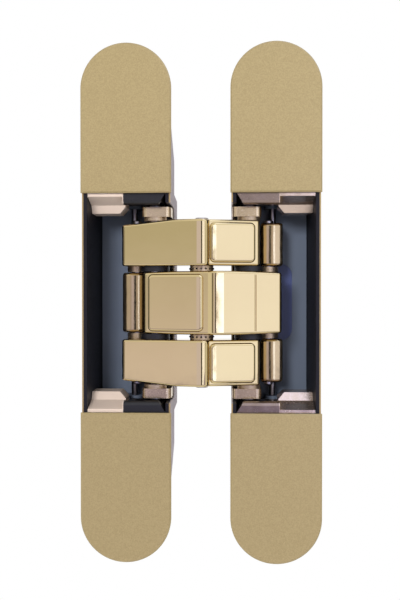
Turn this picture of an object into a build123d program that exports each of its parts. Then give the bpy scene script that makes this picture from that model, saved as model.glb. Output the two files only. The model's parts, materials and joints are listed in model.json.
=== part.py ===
"""Concealed door hinge: two mortised halves joined by a folding set of three arms, shown opened out flat.

Units are mm, +Z is up, +Y runs from the visible face into the mortise, and X runs across both halves.
The two halves mirror each other about X = 0, and the origin is the centre of the whole hinge.
Depths are measured from the seat of the caps, which is the front of each case.
"""

import math
import os

from build123d import *

os.makedirs("parts", exist_ok=True)

LEFT = -1
RIGHT = 1
BOTTOM = -1
TOP = 1

# Width of one half, the gap between the halves when the hinge is open flat, and the turn of each arm about
# its own pivot, in degrees, from there to closed
HALF_WIDTH = 28.0
OPEN_GAP = 18.2
ARM_SWING = 102.4547

# Clip-on caps, which stand out a little past the case
CAP_THICKNESS = 1.2
CAP_BEVEL = 0.45
CAP_OVERHANG = 0.3
SKIRT_WALL = 1.2
SKIRT_GAP = 0.6
SKIRT_CLEARANCE = 0.05

# Rows of the arm stack, and the lugs above and below it
OUTER_ROW = 14.4
MIDDLE_ROW = 19.8
ROW_GAP = 1.7
LUG_GAP = 1.2
LUG_THICKNESS = 3.1
LINK_LUG_THICKNESS = 1.6

# Case, cast with a stepped back. The rooms are lengths beyond the lugs, and the next ones follow on.
DEEP_ROOM = 2.9
NOTCH_ROOM = 0.7
POCKET_ROOM = 3.6
BULKHEAD = 2.2
SLOPE_ROOM = 5.4
SLOPE_RUN = 9.0
FLANGE_LENGTH = 24.7
FLANGE = 3.2
SHOULDER_DEPTH = 17.0
WALL = 1.5
FLOOR = 1.6
CASE_ROUND = 1.0
NOTCH_CLEARANCE = 4.1
NOTCH_CORNER = 3.0
POCKET_CORNER = 1.0

# Fixing holes in the flange
FIXING_RADIUS = 2.3
FIXING_HEAD_RADIUS = 4.3
FIXING_HEAD_ANGLE = 90
FIXING_INSET = 4.7
FIXING_PITCH = 11.0

# Tongue of each end block, in a chamber under the cap, with its adjusting and clamping screws
TONGUE_WIDTH = 12.0
TONGUE_THICKNESS = 5.4
TONGUE_END_GAP = 0.4
CHAMBER_SIDE = 3.0
SLIDE_CLEARANCE = 0.15
SCREW_RADIUS = 2.0
SCREW_HOLE_CLEARANCE = 0.1
SCREW_HEAD_RADIUS = 2.6
SCREW_HEAD = 2.2
SCREW_HEAD_SINK = 0.6
SCREW_HEAD_GAP = 0.15
SCREW_SPACING = 0.6
SCREW_ENGAGEMENT = 2.8
HEX_ACROSS_FLATS = 3.0
DRIVE_DEPTH = 1.3
DRIVE_SLOT = 0.8

# Pivots, as distances from the inner side of their half, and as depths that follow on from each other
ARM_PIVOT_INSET = 5.9
FAR_PIVOT_INSET = 12.4
LINK_PIVOT_INSET = 14.16
ARM_PIVOT_DEPTH = 10.3
CENTRE_RISE = 3.0
FAR_PIVOT_DROP = 6.0
LINK_PIVOT_DROP = 7.51

# Pins and their fits. The far pins stand in wide bores of the links, where the closed chain is opened.
ARM_PIN_RADIUS = 2.0
CENTRE_PIN_RADIUS = 2.2
FAR_PIN_RADIUS = 1.6
LINK_PIN_RADIUS = 1.15
RUNNING_CLEARANCE = 0.03
OPEN_PIVOT_CLEARANCE = 0.32
PIN_END = 0.8
PIN_BEVEL = 0.3

# Arm outline in plan: walls round the pins, and a round ridge near the centre pin, placed towards the own
# side. A wing slopes away from the ridge to a nose over the far pin, gently at first, which is the crown,
# with an elbow under it. The wing of the middle arm has a bend.
BOSS_WALL = 2.1
OWN_KNUCKLE_WALL = 1.1
FAR_KNUCKLE_WALL = 2.8
RIDGE_HEIGHT = 7.3
RIDGE_RADIUS = 2.2
OUTER_RIDGE = 0.3
MIDDLE_RIDGE = -4.5
OUTER_CROWN = 1.6
MIDDLE_CROWN = 2.6
CROWN_TILT = 6.5
CORNER_RADIUS = 1.4
NOSE_RADIUS = 1.2
NOSE_OFFSET = 2.5
NOSE_DROP = 5.4
BEND_OFFSET = 1.9
BEND_DROP = 2.56
BEND_GROOVE = 0.3
ELBOW_RADIUS = 1.8
ELBOW_OFFSET = 1.0
ELBOW_GAP = 0.1
SWEEP_CLEARANCE = 0.5
ARM_ROUND = 0.7

# Taper of the arms as seen from the front: where it starts, and how much is lost at the ends
TAPER_START = 8.5
OUTER_FAR_TAPER = 1.6
MIDDLE_FAR_TAPER = 0.4
MIDDLE_OWN_TAPER = 0.4

# Raised pad on the own side of each arm, on a base that shows round it as a rim. Its start is placed as the
# ridge is, and its face is less tilted there.
PAD_TILT = 12
PAD_DROP = 1.5
PAD_LIP = 0.1
PAD_BASE_CORNER = 1.0
PAD_RISE = 1.1
OUTER_PAD_START = 2.5
MIDDLE_PAD_START = -0.9
PAD_EASE = 1.9
PAD_EASE_MARGIN = 0.1
PAD_RIM = 1.2
PAD_INSET = 0.9
PAD_CORNER = 1.6
PAD_SINK = 1.0
PAD_ROUND = 0.9

# Links
LINK_WIDTH = 7.2
LINK_DEPTH = 6.0
LINK_OFFSET = 1.0
LINK_CORNER = 1.4
LINK_FRONT_RADIUS = 9.0
LINK_BASE_WALL = 2.15
LINK_ROUND = 0.9
LINK_PLAY = 0.2
LINK_FLOOR_GAP = 0.89

# Carriage: floor plate with shallow recesses behind the far ends of the arms, and the lugs on it
CARRIAGE_FLOOR = 2.0
CARRIAGE_CLEARANCE = 0.3
LUG_WALL = 1.9
LUG_INNER_GAP = 0.6
LUG_CORNER = 1.6
LUG_NOSE_LENGTH = 9.0
LINK_LUG_WALL = 1.5
RECESS_DEPTH = 0.8
RECESS_CORNER = 4.0
RECESS_ROOM = 3.2
RECESS_INSET = 2.9
OUTER_RECESS_WIDTH = 13.0
MIDDLE_RECESS_WIDTH = 18.1

# End blocks: lip on the inner side, sloped nose on the outer side. Heights run from the end of the pocket.
BLOCK_FRONT = 0.6
BLOCK_LIP = 2.2
BLOCK_BAR_RADIUS = 1.7
BLOCK_BAR_SLANT = 2.2
BLOCK_SPLIT_GAP = 1.04
BLOCK_FACE = 1.0
BLOCK_CREASE = 3.0
BLOCK_CREASE_DEPTH = 7.4
BLOCK_NOSE = 5.4
BLOCK_NOSE_LENGTH = 8.0
BLOCK_NOSE_SLANT = 1.9

# Washers, as walls round their pins
CENTRE_WASHER_WALL = 1.5
LUG_WASHER_WALL = 1.6
FAR_WASHER_WALL = 1.6
SPACER_WALL = 2.6
AXIAL_PLAY = 0.04

# Places across the hinge, as distances from the mirror plane
INNER_X = OPEN_GAP / 2
CENTRE_X = INNER_X + HALF_WIDTH / 2
ARM_PIVOT_X = INNER_X + ARM_PIVOT_INSET
FAR_PIVOT_X = INNER_X + FAR_PIVOT_INSET
LINK_PIVOT_X = INNER_X + LINK_PIVOT_INSET
CASE_WIDTH = HALF_WIDTH - 2 * CAP_OVERHANG
POCKET_WIDTH = CASE_WIDTH - 2 * WALL
CHAMBER_WIDTH = TONGUE_WIDTH + 2 * CHAMBER_SIDE

# Places along the hinge, as heights above its middle
MIDDLE_TOP = MIDDLE_ROW / 2
OUTER_LOW = MIDDLE_TOP + ROW_GAP
OUTER_HIGH = OUTER_LOW + OUTER_ROW
LUG_LOW = OUTER_HIGH + LUG_GAP
LUG_HIGH = LUG_LOW + LUG_THICKNESS
DEEP_HALF = LUG_HIGH + DEEP_ROOM
NOTCH_HALF = LUG_HIGH + NOTCH_ROOM
POCKET_HALF = LUG_HIGH + POCKET_ROOM
CARRIAGE_HALF = DEEP_HALF - CARRIAGE_CLEARANCE
CHAMBER_START = POCKET_HALF + BULKHEAD
ADJUST_Z = CHAMBER_START + SKIRT_CLEARANCE + SKIRT_WALL + SCREW_HEAD_GAP + SCREW_HEAD_RADIUS
CLAMP_Z = ADJUST_Z + 2 * SCREW_HEAD_RADIUS + SCREW_SPACING
CHAMBER_END = CLAMP_Z + ADJUST_Z - CHAMBER_START
TONGUE_END = CHAMBER_END - TONGUE_END_GAP
SLOPE_Z = CHAMBER_END + SLOPE_ROOM
SHOULDER_Z = SLOPE_Z - SLOPE_RUN
FIXING_NEAR_Z = SLOPE_Z + FIXING_INSET
FIXING_FAR_Z = FIXING_NEAR_Z + FIXING_PITCH
HALF_LENGTH = 2 * (SLOPE_Z + FLANGE_LENGTH)
CASE_LENGTH = HALF_LENGTH - 2 * CAP_OVERHANG

# Radii round the pins
OWN_KNUCKLE_RADIUS = ARM_PIN_RADIUS + OWN_KNUCKLE_WALL
FAR_KNUCKLE_RADIUS = FAR_PIN_RADIUS + FAR_KNUCKLE_WALL
BOSS_RADIUS = CENTRE_PIN_RADIUS + BOSS_WALL
LINK_BASE_RADIUS = LINK_PIN_RADIUS + LINK_BASE_WALL
LINK_LUG_RADIUS = LINK_PIN_RADIUS + LINK_LUG_WALL

# Depths that follow from the sizes above
CENTRE_DEPTH = ARM_PIVOT_DEPTH - CENTRE_RISE
FAR_PIVOT_DEPTH = ARM_PIVOT_DEPTH + FAR_PIVOT_DROP
LINK_PIVOT_DEPTH = FAR_PIVOT_DEPTH + LINK_PIVOT_DROP
TONGUE_FRONT = SCREW_HEAD + SCREW_HEAD_SINK
TONGUE_BACK = TONGUE_FRONT + TONGUE_THICKNESS
SCREW_TIP_DEPTH = TONGUE_BACK + SCREW_ENGAGEMENT
NOTCH_DEPTH = ARM_PIVOT_DEPTH + OWN_KNUCKLE_RADIUS + NOTCH_CLEARANCE
CRADLE_DEPTH = LINK_PIVOT_DEPTH + LINK_BASE_RADIUS + LINK_FLOOR_GAP
FLOOR_DEPTH = CRADLE_DEPTH + CARRIAGE_FLOOR
CASE_DEPTH = FLOOR_DEPTH + FLOOR
SEAT_Y = (CAP_THICKNESS - CASE_DEPTH) / 2
FRONT = Plane.XZ.offset(-SEAT_Y)

# Arm outline
RIDGE_DEPTH = CENTRE_DEPTH - RIDGE_HEIGHT
PAD_DEPTH = RIDGE_DEPTH + PAD_DROP
PAD_BASE_X = ARM_PIVOT_X + OWN_KNUCKLE_RADIUS + PAD_LIP
PAD_END_X = PAD_BASE_X - PAD_RIM
SWEEP_RADIUS = ARM_PIN_RADIUS + SWEEP_CLEARANCE
NOSE_X = FAR_PIVOT_X + NOSE_OFFSET
BEND_X = ARM_PIVOT_X + BEND_OFFSET
ELBOW_X = ARM_PIVOT_X + ELBOW_OFFSET
ELBOW_DEPTH = ARM_PIVOT_DEPTH - SWEEP_RADIUS - ELBOW_RADIUS - ELBOW_GAP


def seat(depth):
    """The Y of a depth measured from the cap seat."""
    return SEAT_Y + depth


def plan(side, x, depth):
    """A point in plan, given by its distance from the mirror plane and its depth."""
    return (side * x, seat(depth))


def keep(piece, name):
    """Label one finished piece and write its STEP file."""
    piece.label = name
    export_step(piece, f"parts/{name}.step")


def case(side):
    """Cast case of one half: stadium outline, stepped back, pocket, chambers and fixing holes."""
    centre = side * CENTRE_X
    with BuildPart() as shell:
        with BuildSketch(FRONT):
            with Locations((centre, 0)):
                SlotOverall(CASE_LENGTH, CASE_WIDTH, rotation=90)
        extrude(amount=-CASE_DEPTH)
        step = [
            (0, HALF_LENGTH / 2),
            (FLANGE, HALF_LENGTH / 2),
            (FLANGE, SLOPE_Z),
            (SHOULDER_DEPTH, SHOULDER_Z),
            (SHOULDER_DEPTH, POCKET_HALF + WALL),
            (CASE_DEPTH, DEEP_HALF + WALL),
        ]
        upper = [(seat(depth), z) for depth, z in step]
        lower = [(y, -z) for y, z in reversed(upper)]
        with BuildSketch(Plane.YZ.offset(centre)):
            with BuildLine():
                Polyline(*upper, *lower, close=True)
            make_face()
        extrude(amount=HALF_WIDTH, both=True, mode=Mode.INTERSECT)
        fillet(shell.faces().sort_by(Axis.Y)[-1].edges(), CASE_ROUND)
        with BuildSketch(FRONT):
            with Locations((centre, 0)):
                Rectangle(POCKET_WIDTH, 2 * POCKET_HALF)
        extrude(amount=-SHOULDER_DEPTH, mode=Mode.SUBTRACT)
        with BuildSketch(FRONT):
            with Locations((centre, 0)):
                RectangleRounded(POCKET_WIDTH, 2 * DEEP_HALF, POCKET_CORNER)
        extrude(amount=-FLOOR_DEPTH, mode=Mode.SUBTRACT)
        with BuildSketch(Plane.YZ.offset(side * INNER_X)):
            with Locations((seat(0), 0)):
                RectangleRounded(2 * NOTCH_DEPTH, 2 * NOTCH_HALF, NOTCH_CORNER)
        extrude(amount=side * (CAP_OVERHANG + 2 * WALL), mode=Mode.SUBTRACT)
        for end in (BOTTOM, TOP):
            with BuildSketch(FRONT):
                with Locations((centre, end * (CHAMBER_START + CHAMBER_END) / 2)):
                    Rectangle(CHAMBER_WIDTH, CHAMBER_END - CHAMBER_START)
            extrude(amount=-TONGUE_BACK, mode=Mode.SUBTRACT)
            with BuildSketch(FRONT):
                with Locations((centre, end * ADJUST_Z), (centre, end * CLAMP_Z)):
                    Circle(SCREW_RADIUS + SCREW_HOLE_CLEARANCE)
            extrude(amount=-SCREW_TIP_DEPTH, mode=Mode.SUBTRACT)
            with BuildSketch(FRONT):
                with Locations((centre, end * (POCKET_HALF + CHAMBER_START) / 2)):
                    Rectangle(TONGUE_WIDTH + 2 * SLIDE_CLEARANCE, CHAMBER_START - POCKET_HALF + WALL)
            extrude(amount=-TONGUE_BACK, mode=Mode.SUBTRACT)
        spots = [end * z for end in (BOTTOM, TOP) for z in (FIXING_NEAR_Z, FIXING_FAR_Z)]
        with Locations(*[Plane((centre, seat(0), z), (1, 0, 0), (0, -1, 0)) for z in spots]):
            CounterSinkHole(FIXING_RADIUS, FIXING_HEAD_RADIUS, FLANGE, FIXING_HEAD_ANGLE)
    return shell.part


def cap(side, end):
    """Clip-on cover plate over one end of a half, with a skirt that grips the chamber."""
    centre = side * CENTRE_X
    length = HALF_LENGTH / 2 - POCKET_HALF
    with BuildPart() as cover:
        with BuildSketch(FRONT):
            with Locations((centre, 0)):
                SlotOverall(HALF_LENGTH, HALF_WIDTH, rotation=90)
            with Locations((centre, end * (POCKET_HALF + length / 2))):
                Rectangle(HALF_WIDTH, length, mode=Mode.INTERSECT)
        extrude(amount=CAP_THICKNESS)
        chamfer(cover.faces().sort_by(Axis.Y)[0].edges(), CAP_BEVEL)
        grip = CHAMBER_WIDTH - 2 * SKIRT_CLEARANCE
        span = CHAMBER_END - CHAMBER_START - 2 * SKIRT_CLEARANCE
        with BuildSketch(FRONT):
            with Locations((centre, end * (CHAMBER_START + CHAMBER_END) / 2)):
                Rectangle(grip, span)
                Rectangle(grip - 2 * SKIRT_WALL, span - 2 * SKIRT_WALL, mode=Mode.SUBTRACT)
        extrude(amount=SKIRT_GAP - TONGUE_FRONT)
    return cover.part


def carriage(side, recesses):
    """Cradle on the pocket floor. At each end a lug carries the arm pin, and a deeper one the link pin."""
    centre = side * CENTRE_X
    width = POCKET_WIDTH - 2 * CARRIAGE_CLEARANCE
    root = CRADLE_DEPTH + CARRIAGE_FLOOR / 2
    with BuildPart() as cradle:
        with BuildSketch(FRONT.offset(-CRADLE_DEPTH)):
            with Locations((centre, 0)):
                RectangleRounded(width, 2 * CARRIAGE_HALF, POCKET_CORNER)
        extrude(amount=-CARRIAGE_FLOOR)
        inner = INNER_X + LUG_INNER_GAP
        leg = CENTRE_X - width / 2
        outer = ARM_PIVOT_X + ARM_PIN_RADIUS + LUG_WALL
        front = ARM_PIVOT_DEPTH - ARM_PIN_RADIUS - LUG_WALL
        for end in (BOTTOM, TOP):
            with BuildSketch(Plane.XY.offset(end * LUG_LOW)):
                with Locations(plan(side, (inner + outer) / 2, front + LUG_NOSE_LENGTH / 2)):
                    RectangleRounded(outer - inner, LUG_NOSE_LENGTH, LUG_CORNER)
                with Locations(plan(side, (leg + outer) / 2, (ARM_PIVOT_DEPTH + root) / 2)):
                    Rectangle(outer - leg, root - ARM_PIVOT_DEPTH)
            extrude(amount=end * LUG_THICKNESS)
            with BuildSketch(Plane.XY.offset(end * CARRIAGE_HALF)):
                with Locations(plan(side, LINK_PIVOT_X, LINK_PIVOT_DEPTH)):
                    Circle(LINK_LUG_RADIUS)
                with Locations(plan(side, LINK_PIVOT_X, root - CARRIAGE_FLOOR / 4)):
                    Rectangle(2 * LINK_LUG_RADIUS, CARRIAGE_FLOOR / 2)
                make_hull()
            extrude(amount=-end * LINK_LUG_THICKNESS)
        for x, depth, radius in (
            (ARM_PIVOT_X, ARM_PIVOT_DEPTH, ARM_PIN_RADIUS),
            (LINK_PIVOT_X, LINK_PIVOT_DEPTH, LINK_PIN_RADIUS),
        ):
            with Locations((*plan(side, x, depth), CARRIAGE_HALF)):
                Hole(radius + RUNNING_CLEARANCE, 2 * CARRIAGE_HALF)
        for z, half, reach in recesses:
            with BuildSketch(FRONT.offset(-CRADLE_DEPTH)):
                with Locations((side * (INNER_X + RECESS_INSET + reach / 2), z)):
                    RectangleRounded(reach, 2 * half, RECESS_CORNER)
            extrude(amount=-RECESS_DEPTH, mode=Mode.SUBTRACT)
    return cradle.part


def end_block(side, end):
    """Guide block at one end of the pocket: a stepped nose on the outer side, a round bar and a tongue."""
    centre = side * CENTRE_X
    outer = CENTRE_X + POCKET_WIDTH / 2 - SLIDE_CLEARANCE
    inner = CENTRE_X - POCKET_WIDTH / 2 + SLIDE_CLEARANCE
    split = LINK_PIVOT_X + BLOCK_SPLIT_GAP
    nose = [
        (BLOCK_FRONT, 0),
        (BLOCK_FRONT, BLOCK_FACE),
        (BLOCK_CREASE_DEPTH, BLOCK_CREASE),
        (SHOULDER_DEPTH - BLOCK_NOSE_LENGTH, BLOCK_NOSE),
        (SHOULDER_DEPTH, BLOCK_NOSE),
        (SHOULDER_DEPTH, 0),
    ]
    with BuildPart() as block:
        with BuildSketch(Plane.YZ.offset(side * split)):
            with BuildLine():
                Polyline(*[(seat(depth), end * (POCKET_HALF - drop)) for depth, drop in nose], close=True)
            make_face()
        extrude(amount=side * (outer - split))
        with BuildSketch(Plane.YZ.offset(side * inner)):
            with Locations((seat((BLOCK_FRONT + SHOULDER_DEPTH) / 2), end * (POCKET_HALF - BLOCK_LIP / 2))):
                Rectangle(SHOULDER_DEPTH - BLOCK_FRONT, BLOCK_LIP)
        extrude(amount=side * (split - inner))
        with BuildSketch(Plane.YZ.offset(side * inner)):
            with Locations((seat(BLOCK_FRONT + BLOCK_BAR_RADIUS), end * (POCKET_HALF - BLOCK_BAR_RADIUS))):
                Circle(BLOCK_BAR_RADIUS)
        extrude(amount=side * (split - inner))
        bar_z = POCKET_HALF - 2 * BLOCK_BAR_RADIUS
        nose_z = POCKET_HALF - BLOCK_NOSE
        bar_slant = [(inner, POCKET_HALF), (inner, bar_z), (inner + BLOCK_BAR_SLANT, bar_z)]
        nose_slant = [(split, bar_z), (split, nose_z), (split + BLOCK_NOSE_SLANT, nose_z)]
        with BuildSketch(FRONT):
            for slant in (bar_slant, nose_slant):
                with BuildLine():
                    Polyline(*[(side * x, end * z) for x, z in slant], close=True)
                make_face()
        extrude(amount=-SHOULDER_DEPTH, mode=Mode.SUBTRACT)
        with BuildSketch(FRONT.offset(-TONGUE_FRONT)):
            root = POCKET_HALF - BLOCK_FACE
            with Locations((centre, end * (root + TONGUE_END) / 2)):
                Rectangle(TONGUE_WIDTH, TONGUE_END - root)
        extrude(amount=-TONGUE_THICKNESS)
        spots = [(centre, seat(TONGUE_FRONT), end * z) for z in (ADJUST_Z, CLAMP_Z)]
        with Locations(*[Plane(spot, (1, 0, 0), (0, -1, 0)) for spot in spots]):
            Hole(SCREW_RADIUS + SCREW_HOLE_CLEARANCE, TONGUE_THICKNESS)
    return block.part


def screws(side, z, hexagon):
    """The same screw at both ends of a half, through the tongue into the case, with a hex or slot drive."""
    centre = side * CENTRE_X
    with BuildPart() as pair:
        for end in (BOTTOM, TOP):
            with BuildSketch(FRONT.offset(-TONGUE_FRONT)):
                with Locations((centre, end * z)):
                    Circle(SCREW_RADIUS)
            extrude(amount=TONGUE_FRONT - SCREW_TIP_DEPTH)
            with BuildSketch(FRONT.offset(-TONGUE_FRONT)):
                with Locations((centre, end * z)):
                    Circle(SCREW_HEAD_RADIUS)
            extrude(amount=SCREW_HEAD)
            with BuildSketch(FRONT.offset(SCREW_HEAD - TONGUE_FRONT)):
                with Locations((centre, end * z)):
                    if hexagon:
                        RegularPolygon(HEX_ACROSS_FLATS / 2, 6, major_radius=False)
                    else:
                        Rectangle(2 * SCREW_HEAD_RADIUS, DRIVE_SLOT)
            extrude(amount=-DRIVE_DEPTH, mode=Mode.SUBTRACT)
    return pair.part


def pin(point, radius, half):
    """Plain pivot pin, bevelled at both ends, standing upright at a point in plan."""
    with BuildPart() as shaft:
        with BuildSketch(Plane.XY.offset(-half)):
            with Locations(point):
                Circle(radius)
        extrude(amount=2 * half)
        chamfer(shaft.edges().filter_by(GeomType.CIRCLE), PIN_BEVEL)
    return shaft.part


def washers(point, radius, bore, low, high):
    """Two equal flat washers on one pin, above and below the middle of the stack."""
    with BuildPart() as pair:
        for end in (BOTTOM, TOP):
            with BuildSketch(Plane.XY.offset(end * low)):
                with Locations(point):
                    Circle(radius)
                    Circle(bore, mode=Mode.SUBTRACT)
            extrude(amount=end * (high - low))
    return pair.part


def arm(own, low, high, ridge, crown, pad_start, taper, bent):
    """One arm. Its own pivot is on the own side, and its wing reaches over to the far side.

    The ridge and the start of the pad are places towards the own side, and the crown is a length. The taper
    is what is lost at the far end below and above, and at the own end.
    """
    far = -own
    centre = plan(own, 0, CENTRE_DEPTH)
    nose = plan(far, NOSE_X, RIDGE_DEPTH + NOSE_DROP + NOSE_RADIUS)
    elbow = plan(far, ELBOW_X, ELBOW_DEPTH)
    pivot = plan(own, ARM_PIVOT_X, ARM_PIVOT_DEPTH)
    far_pivot = plan(far, FAR_PIVOT_X, FAR_PIVOT_DEPTH)
    slope = math.radians(PAD_TILT)
    start_depth = PAD_DEPTH + ridge * math.tan(slope)
    edge_depth = PAD_DEPTH + PAD_BASE_X * math.tan(slope)
    crown_drop = crown * math.tan(math.radians(CROWN_TILT))
    base = Plane.XY.offset(low)
    with BuildPart() as piece:
        with BuildSketch(base):
            with Locations(nose):
                Circle(NOSE_RADIUS)
            with Locations(elbow):
                Circle(ELBOW_RADIUS)
            with Locations(far_pivot):
                Circle(FAR_KNUCKLE_RADIUS)
            make_hull()
        with BuildSketch(base):
            with Locations(nose):
                Circle(NOSE_RADIUS)
            with Locations(plan(own, ridge, RIDGE_DEPTH + RIDGE_RADIUS)):
                Circle(RIDGE_RADIUS)
            with Locations(centre):
                Circle(BOSS_RADIUS)
            with Locations(plan(own, ridge - crown, RIDGE_DEPTH + crown_drop + CORNER_RADIUS)):
                RegularPolygon(CORNER_RADIUS, 4)
            if bent:
                with Locations(plan(far, BEND_X, RIDGE_DEPTH + BEND_DROP + CORNER_RADIUS)):
                    RegularPolygon(CORNER_RADIUS, 4)
            make_hull()
        with BuildSketch(base):
            with Locations(centre):
                Circle(BOSS_RADIUS)
            with Locations(plan(own, ridge, start_depth + CORNER_RADIUS)):
                Circle(CORNER_RADIUS)
            with Locations(plan(own, PAD_BASE_X - PAD_BASE_CORNER, edge_depth + PAD_BASE_CORNER)):
                Circle(PAD_BASE_CORNER)
            with Locations(pivot):
                Circle(OWN_KNUCKLE_RADIUS)
            make_hull()
        extrude(amount=high - low)
        # Way for the other half's arm pin, which swings round the centre pin as the hinge folds
        reach = math.hypot(ARM_PIVOT_X, CENTRE_RISE)
        start = math.atan2(CENTRE_RISE, ARM_PIVOT_X)
        sweep = math.radians(2 * ARM_SWING - 180)
        way = []
        for share in (0, 0.5, 1):
            angle = start + share * sweep
            way.append(plan(far, reach * math.cos(angle), CENTRE_DEPTH + reach * math.sin(angle)))
        with BuildSketch(base):
            with BuildLine() as path:
                ThreePointArc(*way)
            SlotArc(path.edges()[0], 2 * SWEEP_RADIUS)
        extrude(amount=high - low, mode=Mode.SUBTRACT)
        far_low, far_high, own_both = taper
        far_end = NOSE_X + 2 * NOSE_RADIUS
        own_end = PAD_BASE_X + PAD_BASE_CORNER
        outline = [
            (far * far_end, low + far_low),
            (far * TAPER_START, low),
            (own * TAPER_START, low),
            (own * own_end, low + own_both),
            (own * own_end, high - own_both),
            (own * TAPER_START, high),
            (far * TAPER_START, high),
            (far * far_end, high - far_high),
        ]
        with BuildSketch(FRONT):
            with BuildLine():
                Polyline(*outline, close=True)
            make_face()
        extrude(amount=CASE_DEPTH, both=True, mode=Mode.INTERSECT)
        ends = piece.faces().filter_by(lambda face: abs(face.normal_at().Z) > math.cos(slope))
        fillet(ends.edges().filter_by(Axis.Y, reverse=True), ARM_ROUND)
        pad_length = PAD_END_X - pad_start
        pad_width = high - low - 2 * PAD_INSET
        middle = (pad_start + PAD_END_X) / 2
        point = (*plan(own, middle, PAD_DEPTH + middle * math.tan(slope)), (low + high) / 2)
        across = (own * math.cos(slope), math.sin(slope), 0)
        outward = (own * math.sin(slope), -math.cos(slope), 0)
        tilted = Plane(point, across, outward)
        with BuildSketch(tilted.offset(-PAD_SINK)):
            RectangleRounded(pad_length, pad_width, PAD_CORNER)
        extrude(amount=PAD_SINK + PAD_RISE)
        face = tilted.offset(PAD_RISE)
        fold = PAD_EASE - pad_length / 2
        edge = -pad_length / 2 - PAD_EASE_MARGIN
        fall = (fold - edge) * math.tan(math.radians(PAD_TILT - CROWN_TILT))
        wedge = [face.from_local_coords(spot) for spot in ((fold, 0, 0), (edge, 0, 0), (edge, 0, -fall))]
        with BuildSketch(base):
            with BuildLine():
                Polyline(*[(spot.X, spot.Y) for spot in wedge], close=True)
            make_face()
        extrude(amount=high - low, mode=Mode.SUBTRACT)
        crease = face.from_local_coords((fold, 0, 0))
        eased = face.from_local_coords((fold - PAD_EASE / 2, 0, -fall / 2))
        tops = piece.faces().sort_by_distance(face.origin)[:1] + piece.faces().sort_by_distance(eased)[:1]
        fillet(tops.edges().filter_by(lambda line: line.distance_to(crease) > PAD_EASE / 2), PAD_ROUND)
        pins = ((pivot, ARM_PIN_RADIUS), (centre, CENTRE_PIN_RADIUS), (far_pivot, FAR_PIN_RADIUS))
        for spot, radius in pins:
            with Locations((*spot, high)):
                Hole(radius + RUNNING_CLEARANCE, high - low)
        if bent:
            margin = ARM_ROUND + far_low
            with BuildSketch(base.offset(margin)):
                with Locations(plan(far, BEND_X, RIDGE_DEPTH + BEND_DROP)):
                    Circle(BEND_GROOVE)
            extrude(amount=high - low - 2 * margin, mode=Mode.SUBTRACT)
    return piece.part


def link(side, low, high):
    """Short link from the far pin of an arm to the fixed pin deep in the pocket."""
    far = plan(side, FAR_PIVOT_X, FAR_PIVOT_DEPTH)
    root = plan(side, LINK_PIVOT_X, LINK_PIVOT_DEPTH)
    middle = FAR_PIVOT_X + LINK_OFFSET
    with BuildPart() as piece:
        with BuildSketch(Plane.XY.offset(low)):
            with Locations(plan(side, middle, FAR_PIVOT_DEPTH + LINK_FRONT_RADIUS - LINK_DEPTH / 2)):
                Circle(LINK_FRONT_RADIUS)
            with Locations(plan(side, middle, FAR_PIVOT_DEPTH)):
                RectangleRounded(LINK_WIDTH, LINK_DEPTH, LINK_CORNER, mode=Mode.INTERSECT)
            with Locations(root):
                Circle(LINK_BASE_RADIUS)
            make_hull()
        extrude(amount=high - low)
        fillet(piece.faces().filter_by(Axis.Z).edges(), LINK_ROUND)
        with Locations((*far, high)):
            Hole(FAR_PIN_RADIUS + OPEN_PIVOT_CLEARANCE, high - low)
        with Locations((*root, high)):
            Hole(LINK_PIN_RADIUS + RUNNING_CLEARANCE, high - low)
    return piece.part


row_middle = (OUTER_LOW + OUTER_HIGH) / 2
middle_recess = [(0, MIDDLE_TOP + RECESS_ROOM, MIDDLE_RECESS_WIDTH)]
outer_recesses = [(end * row_middle, OUTER_ROW / 2, OUTER_RECESS_WIDTH) for end in (BOTTOM, TOP)]

for side, word, recesses in ((LEFT, "left", outer_recesses), (RIGHT, "right", middle_recess)):
    keep(case(side), f"case_{word}")
    for end, place in ((BOTTOM, "bottom"), (TOP, "top")):
        keep(cap(side, end), f"cap_{place}_{word}")
        keep(end_block(side, end), f"end_block_{place}_{word}")
    keep(carriage(side, recesses), f"carriage_{word}")
    keep(screws(side, ADJUST_Z, True), f"adjusting_screws_{word}")
    keep(screws(side, CLAMP_Z, False), f"clamp_screws_{word}")
    own_pivot = plan(side, ARM_PIVOT_X, ARM_PIVOT_DEPTH)
    keep(pin(own_pivot, ARM_PIN_RADIUS, LUG_HIGH + PIN_END), f"arm_pin_{word}")
    root_pivot = plan(side, LINK_PIVOT_X, LINK_PIVOT_DEPTH)
    keep(pin(root_pivot, LINK_PIN_RADIUS, CARRIAGE_HALF), f"link_pin_{word}")
    far_pivot = plan(side, FAR_PIVOT_X, FAR_PIVOT_DEPTH)
    far_half = OUTER_HIGH + PIN_END
    keep(pin(far_pivot, FAR_PIN_RADIUS, far_half), f"far_pin_{word}")
    far_bore = FAR_PIN_RADIUS + RUNNING_CLEARANCE
    far_washer = FAR_PIN_RADIUS + FAR_WASHER_WALL
    row_low = MIDDLE_TOP + AXIAL_PLAY
    row_high = OUTER_LOW - AXIAL_PLAY
    keep(washers(far_pivot, far_washer, far_bore, row_low, row_high), f"far_washers_{word}")
    lug_bore = ARM_PIN_RADIUS + RUNNING_CLEARANCE
    lug_washer = ARM_PIN_RADIUS + LUG_WASHER_WALL
    keep(washers(own_pivot, lug_washer, lug_bore, OUTER_HIGH + AXIAL_PLAY, LUG_LOW), f"lug_washers_{word}")
    row_spacer = ARM_PIN_RADIUS + SPACER_WALL
    keep(washers(own_pivot, row_spacer, lug_bore, row_low, row_high), f"row_spacers_{word}")

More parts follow.
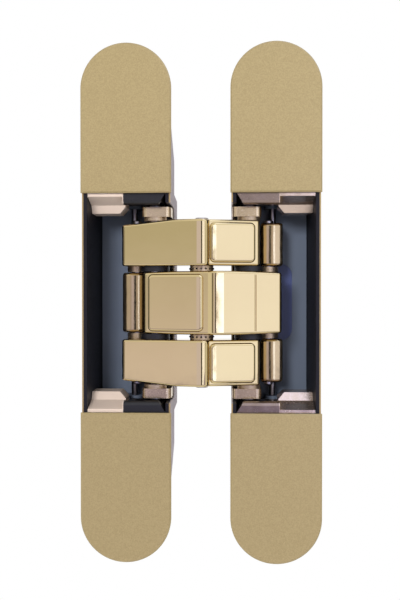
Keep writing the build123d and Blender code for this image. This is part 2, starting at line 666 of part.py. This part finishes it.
outer_taper = (0, OUTER_FAR_TAPER, 0)
middle_taper = (MIDDLE_FAR_TAPER, MIDDLE_FAR_TAPER, MIDDLE_OWN_TAPER)
outer_places = (OUTER_RIDGE, OUTER_CROWN, OUTER_PAD_START)
middle_places = (MIDDLE_RIDGE, MIDDLE_CROWN, MIDDLE_PAD_START)
upper_arm = arm(RIGHT, OUTER_LOW, OUTER_HIGH, *outer_places, outer_taper, False)
middle_arm = arm(LEFT, -MIDDLE_TOP, MIDDLE_TOP, *middle_places, middle_taper, True)
with BuildPart() as lower_arm:
    mirror(upper_arm, Plane.XY)
keep(upper_arm, "upper_arm")
keep(lower_arm.part, "lower_arm")
keep(middle_arm, "middle_arm")
centre_point = plan(RIGHT, 0, CENTRE_DEPTH)
keep(pin(centre_point, CENTRE_PIN_RADIUS, OUTER_HIGH + PIN_END), "centre_pin")
centre_bore = CENTRE_PIN_RADIUS + RUNNING_CLEARANCE
centre_washer = CENTRE_PIN_RADIUS + CENTRE_WASHER_WALL
keep(washers(centre_point, centre_washer, centre_bore, MIDDLE_TOP, OUTER_LOW - AXIAL_PLAY), "centre_washers")
keep(link(LEFT, LINK_PLAY - MIDDLE_TOP, MIDDLE_TOP - LINK_PLAY), "link_left")
keep(link(RIGHT, OUTER_LOW + LINK_PLAY, OUTER_HIGH - LINK_PLAY), "link_upper_right")
keep(link(RIGHT, LINK_PLAY - OUTER_HIGH, -OUTER_LOW - LINK_PLAY), "link_lower_right")
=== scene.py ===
# %% [markdown]
# A concealed door hinge, opened out flat
#
# Two slim halves sit in mortises, one in the door frame and one in the door, and polished arms fold between
# them. The solids come ready from the CAD model. They could be modelled again here, but their shapes are
# right, and a copy would add nothing. So this lesson gives them their finishes, adds the smallest pieces, and
# then lights and frames the hinge as on a plain product page.

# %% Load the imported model
import json
import math

import bpy
from mathutils import Matrix, Vector


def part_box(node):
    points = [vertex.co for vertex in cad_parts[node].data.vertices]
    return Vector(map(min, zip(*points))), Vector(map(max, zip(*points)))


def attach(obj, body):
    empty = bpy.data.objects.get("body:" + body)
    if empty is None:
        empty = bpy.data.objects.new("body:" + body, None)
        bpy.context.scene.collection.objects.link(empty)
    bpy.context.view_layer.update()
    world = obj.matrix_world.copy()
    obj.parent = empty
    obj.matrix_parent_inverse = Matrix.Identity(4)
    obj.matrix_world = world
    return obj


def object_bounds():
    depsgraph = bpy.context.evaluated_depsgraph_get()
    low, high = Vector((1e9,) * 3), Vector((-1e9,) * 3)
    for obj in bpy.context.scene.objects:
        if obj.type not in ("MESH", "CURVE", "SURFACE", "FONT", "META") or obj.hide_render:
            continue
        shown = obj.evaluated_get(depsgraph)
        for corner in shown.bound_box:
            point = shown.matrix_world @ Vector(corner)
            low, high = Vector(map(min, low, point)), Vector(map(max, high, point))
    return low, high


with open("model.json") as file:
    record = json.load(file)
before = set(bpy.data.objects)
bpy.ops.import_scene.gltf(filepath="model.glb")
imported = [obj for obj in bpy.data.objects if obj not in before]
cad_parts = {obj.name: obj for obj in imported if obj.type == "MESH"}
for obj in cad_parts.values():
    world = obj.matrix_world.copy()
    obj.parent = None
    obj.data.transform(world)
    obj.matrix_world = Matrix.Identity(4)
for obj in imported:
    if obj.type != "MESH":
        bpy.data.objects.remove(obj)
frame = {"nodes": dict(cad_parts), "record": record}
cad_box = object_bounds()
slot_of = {item["node"]: item["material_slot"] for item in frame["record"]["subparts"]}

# %% [markdown]
# Helpers for finishes
#
# A finish is a small tree of nodes. It could be drawn by hand in the shader editor, but a script that makes
# the same tree each time is easier to read and to change, so each helper adds one node.
# Every pattern hangs on Object coordinates, which stay with the piece when the hinge folds.

# %% Colours, sockets and nodes
MM = 0.001


def linear(red, green, blue):
    """Turn a colour as read off a screen, 0 to 255, into the linear values that shaders take."""
    shares = [part / 255 for part in (red, green, blue)]
    light = [s / 12.92 if s <= 0.04045 else ((s + 0.055) / 1.055) ** 2.4 for s in shares]
    return (*light, 1.0)


def plug(tree, socket, value):
    """Link a socket to another, or set its value."""
    if isinstance(value, bpy.types.NodeSocket):
        tree.links.new(value, socket)
    else:
        socket.default_value = value


def fill_in(tree, node, inputs):
    """Fill several inputs of a node, each by its name or its number."""
    for name, value in inputs.items():
        plug(tree, node.inputs[name], value)


def add_node(tree, kind, output, inputs, **choices):
    """Add a node, make its choices, fill its inputs, and give back one of its outputs."""
    node = tree.nodes.new(kind)
    for name, value in choices.items():
        setattr(node, name, value)
    fill_in(tree, node, inputs)
    return node.outputs[output]


print("middle grey on a screen is", round(linear(128, 128, 128)[0], 3), "in linear light")

# %% Places, sums and mixes
def new_finish(name):
    """A material with its Principled shader, and the Object coordinates to hang patterns on."""
    finish = bpy.data.materials.new(name)
    finish.use_nodes = True
    tree = finish.node_tree
    place = add_node(tree, "ShaderNodeTexCoord", "Object", {})
    return finish, tree, tree.nodes["Principled BSDF"], place


def coordinate(tree, place, axis):
    """One coordinate of a point."""
    return add_node(tree, "ShaderNodeSeparateXYZ", axis, {"Vector": place})


def calc(tree, operation, first, second=0.0):
    """One step of arithmetic."""
    return add_node(tree, "ShaderNodeMath", "Value", {0: first, 1: second}, operation=operation)


def blend(tree, factor, first, second):
    """A mix of two colours in linear light, or of two colour sockets."""
    inputs = {"Factor": factor, "A": first, "B": second}
    return add_node(tree, "ShaderNodeMix", "Result", inputs, data_type="RGBA")


def tones(tree, factor, light, dark):
    """A mix of two colours as read off a screen."""
    return blend(tree, factor, linear(*light), linear(*dark))


print("helpers: place, sum and mix")

# %% Noise and bumps
NOISE_LOW, NOISE_HIGH = 0.3, 0.7
CLOUD_DETAIL = 3.0
GRAIN_DETAIL = 4.0
WAVE_DETAIL = 1.0


def speckle(tree, place, scale, detail=CLOUD_DETAIL, stretch=None):
    """Noise from 0 to 1, which can be drawn out along an axis."""
    if stretch:
        place = add_node(tree, "ShaderNodeMapping", "Vector", {"Vector": place, "Scale": stretch})
    return add_node(tree, "ShaderNodeTexNoise", "Fac", {"Vector": place, "Scale": scale, "Detail": detail})


def spread(tree, value, low, high, start=NOISE_LOW, end=NOISE_HIGH):
    """Bring one range, by default the middle of a noise, into another."""
    limits = {"From Min": start, "From Max": end, "To Min": low, "To Max": high}
    return add_node(tree, "ShaderNodeMapRange", "Result", {"Value": value, **limits})


def bumps(tree, height, strength, distance, under=None):
    """Fine bumps, which can lie on top of other bumps."""
    inputs = {"Height": height, "Strength": strength, "Distance": distance}
    if under is not None:
        inputs["Normal"] = under
    return add_node(tree, "ShaderNodeBump", "Normal", inputs)


print("a noise mostly lies between", NOISE_LOW, "and", NOISE_HIGH)

# %% [markdown]
# Satin and polished metals
#
# The cover plates have a satin finish: a fine even grain spreads the light, so they look the same all over.
# The arms are polished and plated, so they mirror the studio, and the casting under the plate makes the
# mirror wave a little. Each could be a shader of its own. They differ only in amounts, so one Principled
# metal serves them all: a change of tone, an uneven gloss, a grain, and slow waves under the grain.

# %% Metal finishes
WAVE_HEIGHT = 0.6 * MM
GRAIN_HEIGHT = 0.05 * MM
WAVE_SCALE = 170.0
SLOW_CLOUD = 40.0


def metal(name, light, dark, gloss, grain, depth, waves, stretch=None, metallic=1.0, cloud=SLOW_CLOUD):
    """A plated metal: two tones, a range of roughness, a grain, and slow waves from the casting."""
    finish, tree, shader, place = new_finish(name)
    mottle = spread(tree, speckle(tree, place, cloud), 0.0, 1.0)
    fine = speckle(tree, place, grain, GRAIN_DETAIL, stretch)
    casting = bumps(tree, speckle(tree, place, WAVE_SCALE, WAVE_DETAIL), waves, WAVE_HEIGHT)
    fill_in(tree, shader, {
        "Base Color": tones(tree, mottle, light, dark),
        "Metallic": metallic,
        "Roughness": spread(tree, fine, *gloss),
        "Normal": bumps(tree, fine, depth, GRAIN_HEIGHT, casting),
    })
    return finish


finishes = {
    "cap": metal("satin_champagne", light=(183, 163, 118), dark=(168, 148, 104), gloss=(0.42, 0.5),
                 grain=2600.0, depth=0.5, waves=0.01, metallic=0.35, cloud=2600.0),
    "arm": metal("polished_champagne", light=(209, 189, 141), dark=(205, 184, 137), gloss=(0.05, 0.08),
                 grain=900.0, depth=0.02, waves=0.06),
    "link": metal("plated_link", light=(189, 167, 128), dark=(177, 156, 118), gloss=(0.1, 0.16),
                  grain=900.0, depth=0.03, waves=0.1),
    "washer": metal("plated_washer", light=(214, 192, 162), dark=(202, 180, 150), gloss=(0.4, 0.5),
                    grain=1400.0, depth=0.05, waves=0.02),
    "pin": metal("ground_pin", light=(186, 180, 182), dark=(168, 163, 166), gloss=(0.3, 0.4),
                 grain=900.0, depth=0.1, waves=0.02, stretch=(1, 1, 0.1)),
    "screw": metal("zinc_screw", light=(190, 186, 180), dark=(168, 163, 158), gloss=(0.25, 0.38),
                   grain=1500.0, depth=0.08, waves=0.02),
}
print("metals:", sorted(finishes))

# %% [markdown]
# End blocks
#
# The guide blocks under the cover plates are plated too. On the left pair the plate is painted pale and matt,
# and its bar near black, as painted reflection and painted shade of the dark pocket. The right pair is
# bright, and its bar is browner and darkened as painted shade from the cover plate above. A piece could be
# cut in two for that. It is simpler to let one finish choose by place, with a coordinate as the switch.

# %% Finish of the end blocks
BLOCK_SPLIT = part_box("link_pin_right")[0][0] + 2.0 * MM
# Painted reflection and shade: the left plate is painted pale and matt, its bar near black, and the right bar
# is darkened.
PAINTED_MATT_PLATE = (240, 220, 204), (228, 206, 190)
PAINTED_SHADE_BAR = (22, 21, 26)
BRIGHT_PLATE = (222, 200, 184), (204, 182, 168)
BROWN_BAR_PAINTED_SHADE = (146, 128, 120)
BRIGHT_METAL = 0.9
ROUGHER_WHEN_DULL = 0.2


def block_finish():
    """Left: plate painted pale and matt, bar painted near black as shade. Right: bright plate, browner bar
    darkened as painted shade.
    """
    finish, tree, shader, place = new_finish("plated_block")
    across = coordinate(tree, place, "X")
    right = calc(tree, "GREATER_THAN", across, 0.0)
    left = calc(tree, "SUBTRACT", 1.0, right)
    bar = calc(tree, "LESS_THAN", calc(tree, "ABSOLUTE", across), BLOCK_SPLIT)
    cloud = speckle(tree, place, scale=60.0)
    # Painted shade on the bars, near black on the left and darkened brown on the right; the left plate is a
    # painted matt look.
    painted_matt_side = blend(tree, bar, tones(tree, cloud, *PAINTED_MATT_PLATE), linear(*PAINTED_SHADE_BAR))
    bright = blend(tree, bar, tones(tree, cloud, *BRIGHT_PLATE), linear(*BROWN_BAR_PAINTED_SHADE))
    fine = speckle(tree, place, scale=1200.0, detail=GRAIN_DETAIL)
    gloss = spread(tree, fine, low=0.2, high=0.28)
    waves = speckle(tree, place, scale=220.0, detail=WAVE_DETAIL)
    casting = bumps(tree, waves, strength=0.2, distance=WAVE_HEIGHT)
    fill_in(tree, shader, {
        "Base Color": blend(tree, right, painted_matt_side, bright),
        "Metallic": calc(tree, "MULTIPLY", right, BRIGHT_METAL),
        "Roughness": calc(tree, "ADD", gloss, calc(tree, "MULTIPLY", left, ROUGHER_WHEN_DULL)),
        "Normal": bumps(tree, fine, strength=0.1, distance=GRAIN_HEIGHT, under=casting),
    })
    return finish


finishes["plated_block"] = block_finish()
print("end blocks: bar and nose part at", round(BLOCK_SPLIT / MM, 2), "mm")

# %% [markdown]
# The cradle on the pocket floor
#
# The floor is steel with a slate blue coat, and its shallow recess is a darker blue. The lugs that stand up
# from it and carry the pins are plated. Each area could have a slot of its own, but the cradle is one solid,
# so the depth of a point tells which is which.

# %% Finish of the carriage
FRONT_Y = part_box("case_right")[0][1]
LUG_BACK_Y = FRONT_Y + 16.5 * MM
RECESS_Y = FRONT_Y + 28.3 * MM
SLATE_COAT = (118, 129, 146), (100, 109, 128)
RECESS_BLUE = (92, 103, 155)
LUG_PLATE = (220, 198, 164), (206, 184, 150)
SMOOTHER_ON_LUGS = 0.22


def carriage_finish():
    """Slate blue coat on the floor, darker in the recess, and plate on the lugs."""
    finish, tree, shader, place = new_finish("slate_carriage")
    depth = coordinate(tree, place, "Y")
    lug = calc(tree, "LESS_THAN", depth, LUG_BACK_Y)
    recess = calc(tree, "GREATER_THAN", depth, RECESS_Y)
    cloud = speckle(tree, place, scale=45.0)
    coat = blend(tree, recess, tones(tree, cloud, *SLATE_COAT), linear(*RECESS_BLUE))
    fine = speckle(tree, place, scale=1600.0, detail=GRAIN_DETAIL)
    gloss = spread(tree, fine, low=0.4, high=0.5)
    fill_in(tree, shader, {
        "Base Color": blend(tree, lug, coat, tones(tree, cloud, *LUG_PLATE)),
        "Metallic": lug,
        "Roughness": calc(tree, "SUBTRACT", gloss, calc(tree, "MULTIPLY", lug, SMOOTHER_ON_LUGS)),
        "Normal": bumps(tree, fine, strength=0.12, distance=GRAIN_HEIGHT),
    })
    return finish


finishes["carriage"] = carriage_finish()
print("carriage: lugs end at y =", round(LUG_BACK_Y / MM, 2), "mm, recess at", round(RECESS_Y / MM, 2), "mm")

# %% [markdown]
# The case
#
# The case is cast zinc. Its outside is bare grey, the pocket has a black coat that also covers the rim, and
# only the outermost edge keeps a thin line of plate. The pocket could be a shell laid inside the case, but
# that would double its walls. Again the place of a point picks the finish.

# %% Where the coat of the pocket ends
CASE_LOW, CASE_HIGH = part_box("case_right")
WALL_SKIN = 0.45 * MM
BACK_WALL = 1.0 * MM
EDGE_DEPTH = 0.3 * MM
POCKET_END = 34.4 * MM


def pocket_and_edge(tree, place):
    """Two switches: 1 inside the pocket, and 1 on the line of plate at the front edge."""
    across = calc(tree, "ABSOLUTE", coordinate(tree, place, "X"))
    along = calc(tree, "ABSOLUTE", coordinate(tree, place, "Z"))
    depth = coordinate(tree, place, "Y")
    off_inner_wall = calc(tree, "GREATER_THAN", across, CASE_LOW[0] + WALL_SKIN)
    off_outer_wall = calc(tree, "LESS_THAN", across, CASE_HIGH[0] - WALL_SKIN)
    between = calc(tree, "MULTIPLY", off_inner_wall, off_outer_wall)
    pocket = calc(tree, "MULTIPLY", between, calc(tree, "LESS_THAN", along, POCKET_END))
    pocket = calc(tree, "MULTIPLY", pocket, calc(tree, "LESS_THAN", depth, CASE_HIGH[1] - BACK_WALL))
    front = calc(tree, "LESS_THAN", depth, CASE_LOW[1] + EDGE_DEPTH)
    edge = calc(tree, "MULTIPLY", front, calc(tree, "SUBTRACT", 1.0, between))
    return pocket, edge


print("case: the coat covers", round(2 * POCKET_END / MM, 1), "mm of the length")

# %% Finish of the case
BARE_ZINC = (208, 199, 204), (189, 180, 186)
BLACK_COAT = (28, 26, 33), (21, 19, 26)
EDGE_PLATE = (200, 174, 124)
MOTTLE_DETAIL = 5.0
MOTTLE_HEIGHT = 0.1 * MM


def case_finish():
    """Cast zinc: bare outside, black pocket and rim, a line of plate at the outer edge."""
    finish, tree, shader, place = new_finish("cast_case")
    pocket, edge = pocket_and_edge(tree, place)
    mottle = speckle(tree, place, scale=700.0, detail=MOTTLE_DETAIL)
    bare = tones(tree, spread(tree, mottle, low=0.0, high=1.0), *BARE_ZINC)
    coat = tones(tree, speckle(tree, place, scale=60.0), *BLACK_COAT)
    skin = blend(tree, pocket, bare, coat)
    fine = speckle(tree, place, scale=2200.0, detail=GRAIN_DETAIL)
    casting = bumps(tree, mottle, strength=0.3, distance=MOTTLE_HEIGHT)
    fill_in(tree, shader, {
        "Base Color": blend(tree, edge, skin, linear(*EDGE_PLATE)),
        "Metallic": edge,
        "Roughness": spread(tree, fine, low=0.5, high=0.65),
        "Specular IOR Level": 0.25,
        "Normal": bumps(tree, fine, strength=0.15, distance=GRAIN_HEIGHT, under=casting),
    })
    return finish


finishes["case"] = case_finish()
print("case:", len(finishes["case"].node_tree.nodes), "nodes")

# %% [markdown]
# Spacers
#
# Dark plastic spacers keep the rows of arms apart. They could share the black coat of the case, but moulded
# plastic is smoother and shines a little, so it has a finish of its own.

# %% Finish of the spacers
DARK_PLASTIC = (30, 29, 34), (22, 21, 26)


def plastic_finish():
    """Dark moulded plastic."""
    finish, tree, shader, place = new_finish("dark_plastic")
    fine = speckle(tree, place, scale=1800.0)
    fill_in(tree, shader, {
        "Base Color": tones(tree, speckle(tree, place, scale=200.0), *DARK_PLASTIC),
        "Roughness": spread(tree, fine, low=0.4, high=0.55),
        "Normal": bumps(tree, fine, strength=0.1, distance=GRAIN_HEIGHT),
    })
    return finish


finishes["spacer"] = plastic_finish()
print("spacers:", finishes["spacer"].name)

# %% [markdown]
# Dress the solids
#
# On the real hinge all pieces of one kind have the same finish. The finishes could be given one by one, but
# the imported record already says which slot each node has, so a loop does it.

# %% Give every node its finish
for name in frame["nodes"]:
    piece = bpy.data.objects[name]
    piece.data.materials.clear()
    piece.data.materials.append(finishes[slot_of[name]])
print("dressed:", len(frame["nodes"]), "nodes")

# %% [markdown]
# Bearing balls between the rows
#
# The washers on the centre pin are small thrust bearings, and a row of balls shows in the rim of each.
# The balls could be placed one by one. A circle of points with a ball on each is a rule, so Geometry Nodes
# make it: the ring's radius, the ball's radius, the level and the number of balls are inputs of the tree.

# %% Tree for a ring of balls
BALL_SUBDIVISIONS = 2
RING_INPUTS = {"Ring Radius": "Float", "Ball Radius": "Float", "Level": "Float", "Balls": "Int"}


def ring_tree(finish):
    """Geometry Nodes: a ball on each point of a circle, on two levels, as one mesh."""
    tree = bpy.data.node_groups.new("ring_of_balls", "GeometryNodeTree")
    sockets = {}
    for name, kind in RING_INPUTS.items():
        socket = tree.interface.new_socket(name, in_out="INPUT", socket_type="NodeSocket" + kind)
        sockets[name] = socket.identifier
    tree.interface.new_socket("Geometry", in_out="OUTPUT", socket_type="NodeSocketGeometry")
    sizes = tree.nodes.new("NodeGroupInput").outputs
    ring = add_node(tree, "GeometryNodeMeshCircle", "Mesh",
                    {"Vertices": sizes["Balls"], "Radius": sizes["Ring Radius"]})
    ball = add_node(tree, "GeometryNodeMeshIcoSphere", "Mesh",
                    {"Radius": sizes["Ball Radius"], "Subdivisions": BALL_SUBDIVISIONS})
    balls = add_node(tree, "GeometryNodeInstanceOnPoints", "Instances", {"Points": ring, "Instance": ball})
    both = tree.nodes.new("GeometryNodeJoinGeometry")
    for side in (1.0, -1.0):
        height = calc(tree, "MULTIPLY", sizes["Level"], side)
        offset = add_node(tree, "ShaderNodeCombineXYZ", "Vector", {"Z": height})
        row = add_node(tree, "GeometryNodeTransform", "Geometry", {"Geometry": balls, "Translation": offset})
        plug(tree, both.inputs["Geometry"], row)
    whole = add_node(tree, "GeometryNodeRealizeInstances", "Geometry", {"Geometry": both.outputs["Geometry"]})
    coated = add_node(tree, "GeometryNodeSetMaterial", "Geometry", {"Geometry": whole, "Material": finish})
    plug(tree, tree.nodes.new("NodeGroupOutput").inputs["Geometry"], coated)
    return tree, sockets


ball_tree, ball_sockets = ring_tree(finishes["spacer"])
print("ring tree:", len(ball_tree.nodes), "nodes, inputs", sorted(ball_sockets))

# %% The balls on the centre pin
BALL_RADIUS = 0.32 * MM
BALL_COUNT = 16
washer_low, washer_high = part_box("centre_washers")
arm_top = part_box("middle_arm")[1][2]
settings = {
    "Ring Radius": (washer_high[0] - washer_low[0]) / 2,
    "Ball Radius": BALL_RADIUS,
    "Level": (washer_high[2] + arm_top) / 2,
    "Balls": BALL_COUNT,
}
maker = bpy.data.objects.new("ball_maker", bpy.data.meshes.new("ball_maker"))
bpy.context.collection.objects.link(maker)
modifier = maker.modifiers.new("ring_of_balls", "NODES")
modifier.node_group = ball_tree
for name, value in settings.items():
    modifier[ball_sockets[name]] = value
evaluated = maker.evaluated_get(bpy.context.evaluated_depsgraph_get())
mesh = bpy.data.meshes.new_from_object(evaluated)
maker.modifiers.remove(modifier)
bpy.data.objects.remove(maker)
print("bearing balls:", len(mesh.polygons), "faces")

# %% Set the balls in place
middle = [(low + high) / 2 for low, high in zip(washer_low, washer_high)]
mesh.transform(Matrix.Translation((middle[0], middle[1], 0)))
balls = bpy.data.objects.new("bearing_balls", mesh)
bpy.context.collection.objects.link(balls)
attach(balls, "middle_arm")
print("bearing balls: round the pin at", [round(part / MM, 2) for part in middle[:2]], "mm")

# %% [markdown]
# White room
#
# The hinge stands out against plain white. A strong lamp on a white wall would do that, but it would also
# wash out the hinge. So the world is a soft grey light, and only the camera, mirrors and glass see it as
# white. The floor does the same, with a little less white under the hinge, where its soft shadow falls.

# %% World
WHITE = (1.0, 1.0, 1.0, 1.0)
ROOM_LIGHT = 0.5


def white_to_camera_and_mirrors(tree, plain, white, output, share=1.0):
    """Mix a plain shade with a share of pure white, for camera, mirror and glass rays only."""
    path = tree.nodes.new("ShaderNodeLightPath").outputs
    seen = calc(tree, "MAXIMUM", path["Is Camera Ray"], path["Is Glossy Ray"])
    seen = calc(tree, "MAXIMUM", seen, path["Is Transmission Ray"])
    whiteness = calc(tree, "MULTIPLY", seen, share)
    mix = add_node(tree, "ShaderNodeMixShader", "Shader", {"Fac": whiteness, 1: plain, 2: white})
    plug(tree, tree.nodes[output].inputs["Surface"], mix)


world = bpy.data.worlds.new("white_room")
bpy.context.scene.world = world
world.use_nodes = True
room = world.node_tree
soft = room.nodes["Background"]
fill_in(room, soft, {"Color": WHITE, "Strength": ROOM_LIGHT})
white = add_node(room, "ShaderNodeBackground", "Background", {"Color": WHITE})
white_to_camera_and_mirrors(room, soft.outputs["Background"], white, "World Output")
print("world: light of", ROOM_LIGHT, "and white to the camera")

# %% Floor
FLOOR_Z = cad_box[0][2] - 0.17
FLOOR_HALF = 3.0
FLOOR_GREY = (0.9, 0.9, 0.9, 1.0)
FADE_RADIUS = 0.38
WHITE_UNDER_HINGE = 0.75


def level(left, right, front, back, z):
    """Corners of a level rectangle."""
    return [(left, front, z), (right, front, z), (right, back, z), (left, back, z)]


def flat(name, corners, finish):
    """A flat sheet that belongs to the studio."""
    mesh = bpy.data.meshes.new(name)
    mesh.from_pydata(corners, [], [tuple(range(len(corners)))])
    sheet = bpy.data.objects.new(name, mesh)
    sheet.data.materials.append(finish)
    bpy.context.collection.objects.link(sheet)
    return sheet


def floor_paint():
    """Pale matt paint that turns pure white away from the hinge."""
    finish, tree, shader, place = new_finish("floor_paint")
    fill_in(tree, shader, {"Base Color": FLOOR_GREY, "Roughness": 0.9})
    away = add_node(tree, "ShaderNodeVectorMath", "Value", {0: place}, operation="LENGTH")
    share = spread(tree, away, WHITE_UNDER_HINGE, 1.0, abs(FLOOR_Z), math.hypot(FADE_RADIUS, FLOOR_Z))
    white = add_node(tree, "ShaderNodeEmission", "Emission", {"Color": WHITE})
    white_to_camera_and_mirrors(tree, shader.outputs["BSDF"], white, "Material Output", share)
    return finish


flat("studio_floor", level(-FLOOR_HALF, FLOOR_HALF, -FLOOR_HALF, FLOOR_HALF, FLOOR_Z), floor_paint())
print("floor: at z =", round(FLOOR_Z / MM, 1), "mm")

# %% [markdown]
# Cards and flags
#
# A polished arm shows whatever stands round the camera. Light and dark bands could be painted on it, but
# they would stay behind when the arm turns. So, as a photographer does, we stand pale cards and dark flags
# side by side behind the camera, and hang one card overhead for the noses of the end blocks. Only
# reflections see them.

# %% A card that only reflections see
CARD_Y = -0.45
CARD_HALF = 0.085
RAMP_HALF = 0.06
card_names = []


def glowing_sheet(name, corners, low, high=None):
    """A sheet of one colour, or of a colour that changes from low to high."""
    finish, tree, _, place = new_finish(name)
    glow = (*low, 1.0)
    if high:
        height = spread(tree, coordinate(tree, place, "Z"), 0.0, 1.0, -RAMP_HALF, RAMP_HALF)
        glow = blend(tree, height, glow, (*high, 1.0))
    light = add_node(tree, "ShaderNodeEmission", "Emission", {"Color": glow})
    plug(tree, tree.nodes["Material Output"].inputs["Surface"], light)
    sheet = flat(name, corners, finish)
    sheet.visible_camera = False
    sheet.visible_diffuse = False
    sheet.visible_shadow = False
    card_names.append(name)


def card(name, left, right, low, high=None, bottom=-CARD_HALF, top=CARD_HALF, y=CARD_Y):
    """An upright card behind the camera."""
    glowing_sheet(name, [(left, y, bottom), (right, y, bottom), (right, y, top), (left, y, top)], low, high)


print("cards stand at y =", CARD_Y, "m")

# %% Cards from left to right
SHADE = (0.26, 0.24, 0.22)
COOL_GREY = (0.9, 0.87, 1.2)
KHAKI = (0.8, 0.75, 0.82)
FAR_LEFT, FAR_RIGHT = -0.7, 0.7

card("far_left_flag", FAR_LEFT, -0.34, SHADE)
card("left_card", -0.34, -0.185, low=(0.95, 0.9, 1.1), high=(0.72, 0.71, 0.66))
card("dim_gap", -0.185, -0.15, low=(0.62, 0.59, 0.68), high=(0.62, 0.59, 0.66))
card("near_card", -0.15, -0.055, COOL_GREY)
card("lens_flag", -0.055, 0.02, (0.05, 0.05, 0.05))
card("khaki_gap", 0.02, 0.094, KHAKI)
card("bright_strip", 0.094, 0.15, (2.4, 2.7, 3.9))
card("right_card", 0.15, 0.52, (1.39, 1.46, 1.85))
card("far_right_flag", 0.52, FAR_RIGHT, SHADE)
print("cards:", card_names)

# %% Cards in front, below and overhead
MIDDLE_FLAG_Y = CARD_Y + 2 * MM
LOW_FLAG_BOTTOM = -0.32
OVERHEAD_Z = 0.35

card("middle_flag", 0.08, 0.1022, KHAKI, bottom=-0.035, top=0.0255, y=MIDDLE_FLAG_Y)
card("low_flag", FAR_LEFT, FAR_RIGHT, (0.42, 0.37, 0.6), bottom=LOW_FLAG_BOTTOM, top=-CARD_HALF)
glowing_sheet("overhead_card", level(0.05, FAR_RIGHT, front=-0.5, back=0.05, z=OVERHEAD_Z), (1.6, 1.75, 2.3))
print("cards:", len(card_names), "seen in reflections only")

# %% [markdown]
# Lamps
#
# The satin plates and the dark pockets need soft light from in front. One big lamp could give it, but then
# both halves would look the same. A small key lamp on the left and a large weak one on the right give the
# pockets a darker side. They are left out of mirrors, because there the cards stand for them.

# %% Soft lamps
def soft_lamp(name, place, size, power, colour=(1, 1, 1)):
    """A square soft lamp that faces the hinge."""
    data = bpy.data.lights.new(name, "AREA")
    data.size = size
    data.energy = power
    data.color = colour
    lamp = bpy.data.objects.new(name, data)
    lamp.location = place
    lamp.rotation_euler = (-Vector(place)).to_track_quat("-Z", "Y").to_euler()
    lamp.visible_glossy = False
    bpy.context.collection.objects.link(lamp)
    print(name, power, "W")


soft_lamp("key_lamp", place=(-0.13, -0.6, 0.15), size=0.12, power=2.2)
soft_lamp("fill_lamp", place=(0.4, -0.45, -0.15), size=0.4, power=0.6, colour=(0.9, 0.92, 1.0))

# %% [markdown]
# Camera
#
# A long lens from far away would flatten the hinge. It was photographed from close by, so the pocket walls
# open up towards the camera. The camera stands about a quarter of a metre in front of the cover plates and a
# little to the right, and looks at the middle.

# %% Camera
CAMERA_DISTANCE = 242 * MM
CAMERA_RIGHT = 9.3 * MM
CAMERA_UP = 2.6 * MM
AIM_RIGHT = -0.2 * MM
AIM_UP = 0.92 * MM
VIEW_HEIGHT = 183.6 * MM
NEAREST_SEEN = 10 * MM
plate_y = cad_box[0][1]
lens = bpy.data.cameras.new("photo_camera")
lens.sensor_fit = "VERTICAL"
lens.angle = 2 * math.atan(VIEW_HEIGHT / 2 / CAMERA_DISTANCE)
lens.clip_start = NEAREST_SEEN
camera = bpy.data.objects.new("photo_camera", lens)
camera.location = (CAMERA_RIGHT, plate_y - CAMERA_DISTANCE, CAMERA_UP)
aim = Vector((AIM_RIGHT, plate_y, AIM_UP))
camera.rotation_euler = (aim - camera.location).to_track_quat("-Z", "Y").to_euler()
bpy.context.collection.objects.link(camera)
bpy.context.scene.camera = camera
bpy.context.scene.view_settings.view_transform = "Standard"
print("camera: angle of view", round(math.degrees(lens.angle), 1), "degrees")
